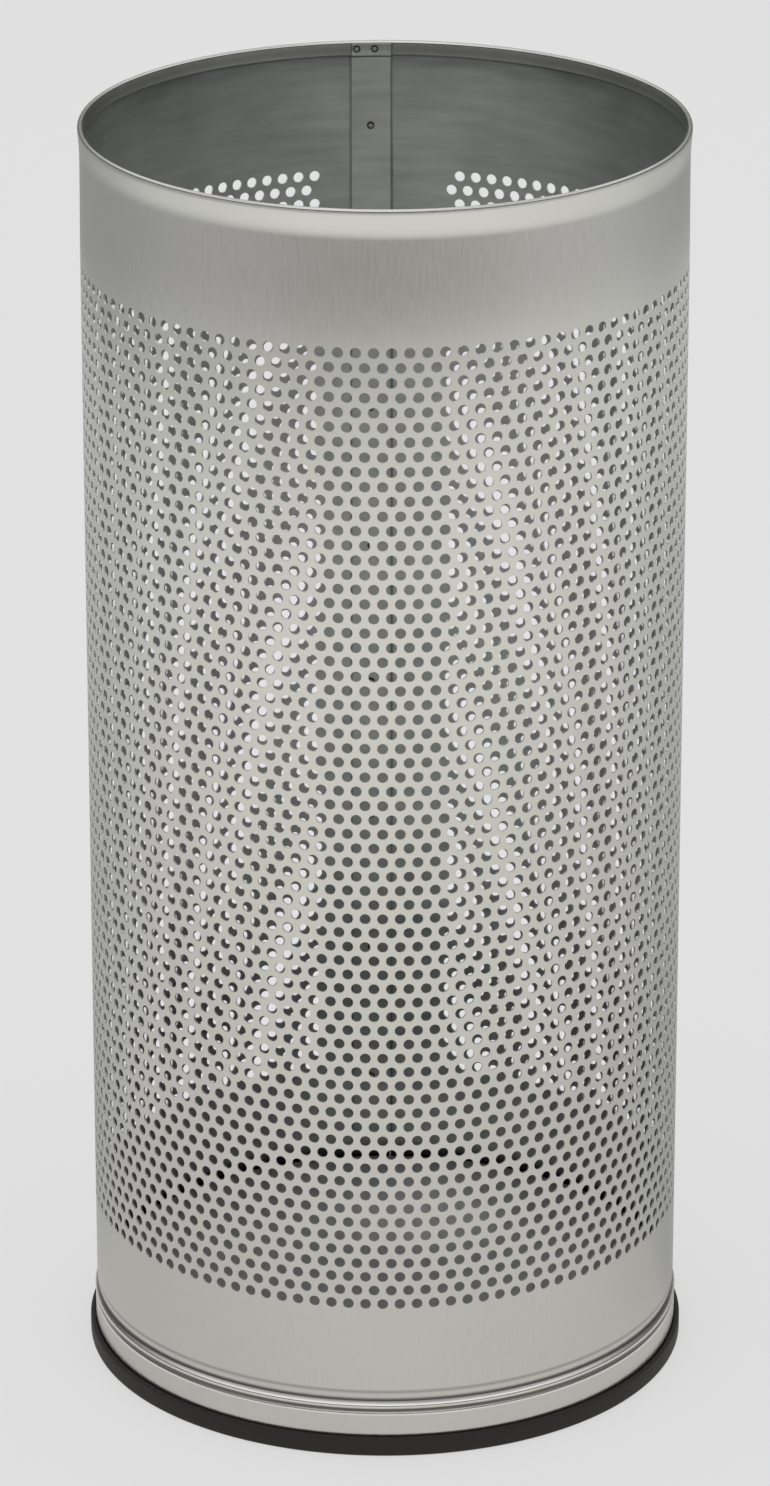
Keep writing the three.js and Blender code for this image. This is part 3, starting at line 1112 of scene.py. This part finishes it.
effects = {"grain": brushGrainGroup(), "lightAndShadePainter": paintedLightAndShadeGroup()}
lapPlace = lap["blankPlace"]
outerSteel = steelMaterial("brushedSteel", effects, {
    "onBlank": True, "long": 90, "fine": 700, "cloudSize": 8, "relief": 0.000001, "stretch": 0.75,
    "dark": (0.635, 0.625, 0.60), "light": (0.685, 0.675, 0.65), "roughness": 0.25, "roughSpread": 0.02,
    # painted shade in the foot's grooves and painted highlights on its crests, then painted shade on the
    # folded band and along its lower edge
    "paintedLightAndShade": [
        ("Y", 0.0321, 0.0016, 0.36), ("Y", 0.0275, 0.0023, 0.80), ("Y", 0.0228, 0.0018, 0.80),
        ("Y", 0.0251, 0.0011, -0.45), ("Y", 0.0208, 0.0009, -0.45),
        ("Y", 0.6124, 0.0040, 0.3), ("Y", hemEnd, 0.0007, 0.6),
    ],
})
# the inside is a duller mill finish, and its colour is also painted darker than the outside as painted shade
# for the inside of the bin
innerSteel = steelMaterial("millSteelPaintedShade", effects, {
    "onBlank": True, "long": 230, "fine": 30, "cloudSize": 22, "relief": 0.0000006, "stretch": 0.45,
    "dark": (0.32, 0.335, 0.33), "light": (0.52, 0.53, 0.51), "roughness": 0.40, "roughSpread": 0.05,
    # painted light, brighter towards the seam; painted shade under the hem, round the floor and along the
    # lap's edge and joggle
    "paintedLightAndShade": [
        ("X", -0.010, 0.115, -0.50), ("X", blankEnd - lapReach - 0.010, 0.115, -0.50),
        ("X", lapPlace, 0.06, -0.50), ("Y", hemFoot - 0.0004, 0.0009, 0.55), ("Y", 0.028, 0.008, 0.9),
        ("X", lapReach + 0.0003, 0.0008, 0.35), ("X", lapPlace - lapReach + 0.0001, 0.0005, 0.35),
        ("X", lapPlace + lapReach + 0.0009, 0.0010, 0.45),
    ],
})
cutSteel = steelMaterial("shearedEdge", effects, {
    "onBlank": True, "long": 400, "fine": 400, "cloudSize": 200, "relief": 0.000004, "stretch": 0.0,
    "dark": (0.62, 0.62, 0.60), "light": (0.76, 0.755, 0.74), "roughness": 0.40, "roughSpread": 0.1,
})
panSteel = steelMaterial("panSteel", effects, {
    "onBlank": False, "long": 40, "fine": 600, "cloudSize": 12, "relief": 0.00001,
    "dark": (0.30, 0.305, 0.295), "light": (0.42, 0.42, 0.405), "roughness": 0.48, "roughSpread": 0.05,
    "metallic": 0.6,
})
rivetSteel = steelMaterial("rivetSteel", effects, {
    "onBlank": False, "long": 800, "fine": 800, "cloudSize": 300, "relief": 0.00001,
    "dark": (0.45, 0.42, 0.36), "light": (0.72, 0.69, 0.62), "roughness": 0.3, "roughSpread": 0.08,
})
# near-black painted shade for the flanks of the rivet heads
rivetShadeRim = steelMaterial("rivetFlankPaintedShade", effects, {
    "onBlank": False, "long": 800, "fine": 800, "cloudSize": 300, "relief": 0.00001,
    "dark": (0.02, 0.016, 0.012), "light": (0.06, 0.05, 0.038), "roughness": 0.5, "roughSpread": 0.1,
})
sheetFinish = [outerSteel, innerSteel, cutSteel]
print("materials made")

for piece in shellSectors(sheetFinish) + [lapEnd(sheetFinish)]:
    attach(piece, "root")
    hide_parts("perforated_shell")
print("sheet rolled")

pan = floorPan(panSteel)
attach(pan, "root")
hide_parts("base_pan")
ring = footRing(rubberMaterial())
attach(ring, "root")
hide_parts("base_ring")
for piece, nodes in rivets([rivetSteel, rivetShadeRim]):
    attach(piece, "root")
    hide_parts(*nodes)
print("pan, ring and rivets made")
